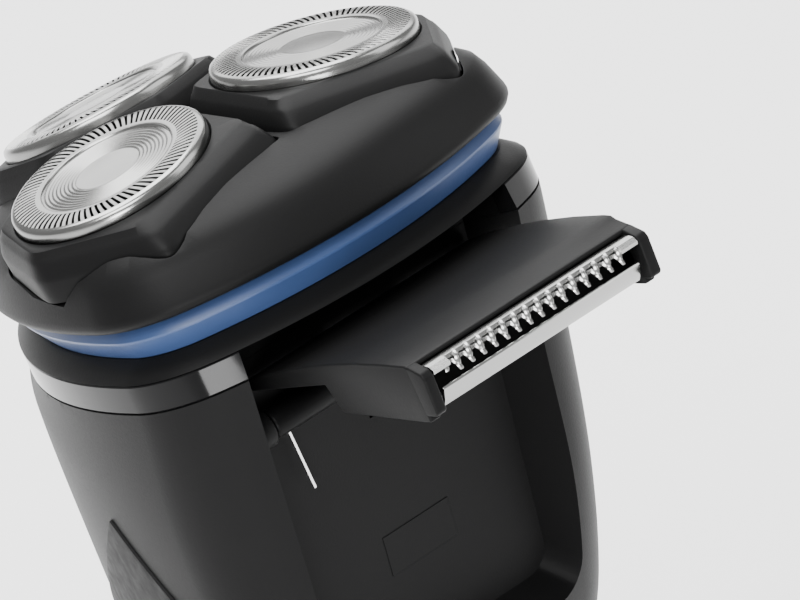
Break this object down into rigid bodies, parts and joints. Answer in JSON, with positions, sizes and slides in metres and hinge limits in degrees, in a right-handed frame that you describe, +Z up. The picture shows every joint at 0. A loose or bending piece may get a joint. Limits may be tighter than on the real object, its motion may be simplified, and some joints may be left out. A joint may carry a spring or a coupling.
{
  "type": "rotary electric shaver",
  "caption": "Cordless rotary shaver: leaning head with slotted round guards over spinning cutters, coloured ring, pop-out trimmer on the back, tapering handle with charging inlet.",
  "frame": {"origin": "centre of the flat base of the handle", "axes": "+Z up the handle, -Y towards the front with the power button, +Y towards the back with the trimmer, +X to the side"},
  "size_m": [0.0538, 0.0853, 0.1569],
  "materials": {
    "matt_grey": "matt",
    "gloss_black": "polished",
    "grip_rubber": "matt",
    "blue_ring": "satin",
    "guard_steel": "satin",
    "cutter_steel": "satin",
    "trimmer_steel": "polished",
    "spring_steel": "satin",
    "inner_plastic": "matt",
    "cell_wrap": "satin",
    "contact_metal": "satin",
    "board": "satin",
    "motor_can": "satin",
    "lens": "frosted"
  },
  "bodies": {
    "handle": {"front_housing": "matt_grey", "rear_housing": "matt_grey", "grip_left": "grip_rubber", "grip_right": "grip_rubber", "base_cap": "matt_grey", "charging_socket": "gloss_black", "socket_pins": "trimmer_steel", "battery": "cell_wrap", "battery_contacts": "contact_metal", "battery_cradle": "inner_plastic", "circuit_board": "board", "motor": "motor_can", "collar_band": "gloss_black", "collar_shelf": "matt_grey", "gear_deck": "inner_plastic", "motor_mount": "inner_plastic", "indicator_lens": "lens", "housing_screws": "spring_steel", "trimmer_hinge_pin": "spring_steel", "trimmer_spring_barrel": "inner_plastic", "trimmer_spring_leg": "spring_steel"},
    "pinion": {"motor_pinion": "contact_metal", "motor_shaft": "spring_steel"},
    "head": {"accent_ring": "blue_ring", "head_cover": "matt_grey", "hair_chamber": "inner_plastic", "retaining_frame": "inner_plastic"},
    "trimmer": {"trimmer_cover": "matt_grey", "trimmer_tray": "gloss_black", "trimmer_comb": "trimmer_steel", "trimmer_guard_strip": "trimmer_steel"},
    "blade": {"trimmer_blade": "trimmer_steel"},
    "lever": {"trimmer_drive_lever": "gloss_black"},
    "slider": {"trimmer_slider": "matt_grey"},
    "power_button": {"power_button": "gloss_black"},
    "release_button": {"head_release_button": "gloss_black"},
    "gear_left": {"drive_gear_left": "inner_plastic", "drive_spindle_left": "spring_steel"},
    "holder_left": {"guard_holder_left": "matt_grey", "guard_left": "guard_steel"},
    "cutter_left": {"cutter_left": "cutter_steel"},
    "gear_right": {"drive_gear_right": "inner_plastic", "drive_spindle_right": "spring_steel"},
    "holder_right": {"guard_holder_right": "matt_grey", "guard_right": "guard_steel"},
    "cutter_right": {"cutter_right": "cutter_steel"},
    "gear_front": {"drive_gear_front": "inner_plastic", "drive_spindle_front": "spring_steel"},
    "holder_front": {"guard_holder_front": "matt_grey", "guard_front": "guard_steel"},
    "cutter_front": {"cutter_front": "cutter_steel"}
  },
  "joints": [
    {"name": "motor_spin", "type": "hinge", "parent": "handle", "child": "pinion", "pos_m": [0, 0.00606, 0.13085], "axis": [0, -0.2756, 0.9613], "continuous": true},
    {"name": "head_pull_off", "type": "slide", "parent": "handle", "child": "head", "axis": [0, -0.2756, 0.9613], "range_m": [0, 0.012]},
    {"name": "gear_spin_left", "type": "hinge", "parent": "handle", "child": "gear_left", "pos_m": [0.01355, 0.01358, 0.13301], "axis": [0, -0.2756, 0.9613], "continuous": true},
    {"name": "holder_tilt_left", "type": "hinge", "parent": "head", "child": "holder_left", "pos_m": [0.01301, 0.00831, 0.15027], "axis": [-0.5, 0.8325, 0.2387], "range_deg": [-2, 2], "stiffness_Nm_per_rad": 0.4},
    {"name": "cutter_spin_left", "type": "hinge", "parent": "holder_left", "child": "cutter_left", "pos_m": [0.01355, 0.00752, 0.15416], "axis": [0.1355, -0.1971, 0.971], "continuous": true},
    {"name": "gear_spin_right", "type": "hinge", "parent": "handle", "child": "gear_right", "pos_m": [-0.01355, 0.01358, 0.13301], "axis": [0, -0.2756, 0.9613], "continuous": true},
    {"name": "holder_tilt_right", "type": "hinge", "parent": "head", "child": "holder_right", "pos_m": [-0.01301, 0.00831, 0.15027], "axis": [-0.5, -0.8325, -0.2387], "range_deg": [-2, 2], "stiffness_Nm_per_rad": 0.4},
    {"name": "cutter_spin_right", "type": "hinge", "parent": "holder_right", "child": "cutter_right", "pos_m": [-0.01355, 0.00752, 0.15416], "axis": [-0.1355, -0.1971, 0.971], "continuous": true},
    {"name": "gear_spin_front", "type": "hinge", "parent": "handle", "child": "gear_front", "pos_m": [0, -0.00898, 0.12654], "axis": [0, -0.2756, 0.9613], "continuous": true},
    {"name": "holder_tilt_front", "type": "hinge", "parent": "head", "child": "holder_front", "pos_m": [0, -0.01335, 0.14406], "axis": [1, 0, 0], "range_deg": [-2, 2], "stiffness_Nm_per_rad": 0.4},
    {"name": "cutter_spin_front", "type": "hinge", "parent": "holder_front", "child": "cutter_front", "pos_m": [0, -0.01504, 0.14769], "axis": [0, -0.4226, 0.9063], "continuous": true},
    {"name": "trimmer_hinge", "type": "hinge", "parent": "handle", "child": "trimmer", "pos_m": [0, 0.026, 0.1298], "axis": [1, 0, 0], "range_deg": [-110, 0], "stiffness_Nm_per_rad": 0.01, "springref_deg": 20.05},
    {"name": "blade_stroke", "type": "slide", "parent": "trimmer", "child": "blade", "axis": [1, 0, 0], "range_m": [-0.0006, 0.0006]},
    {"name": "lever_stroke", "type": "slide", "parent": "handle", "child": "lever", "axis": [1, 0, 0], "range_m": [-0.0006, 0.0006]},
    {"name": "slider_travel", "type": "slide", "parent": "handle", "child": "slider", "axis": [0, 0, -1], "range_m": [0, 0.003], "stiffness_N_per_m": 250},
    {"name": "power_press", "type": "slide", "parent": "handle", "child": "power_button", "axis": [0, 1, 0], "range_m": [0, 0.0008], "stiffness_N_per_m": 800},
    {"name": "release_press", "type": "slide", "parent": "handle", "child": "release_button", "axis": [0, 0.9613, 0.2756], "range_m": [0, 0.0008], "stiffness_N_per_m": 800}
  ],
  "couplings": [
    {"joint": "gear_spin_left", "follows": "motor_spin", "ratio": -1.1},
    {"joint": "cutter_spin_left", "follows": "motor_spin", "ratio": -1.1},
    {"joint": "gear_spin_right", "follows": "motor_spin", "ratio": -1.1},
    {"joint": "cutter_spin_right", "follows": "motor_spin", "ratio": -1.1},
    {"joint": "gear_spin_front", "follows": "motor_spin", "ratio": -1.1},
    {"joint": "cutter_spin_front", "follows": "motor_spin", "ratio": -1.1},
    {"joint": "blade_stroke", "follows": "lever_stroke", "ratio": 1}
  ]
}
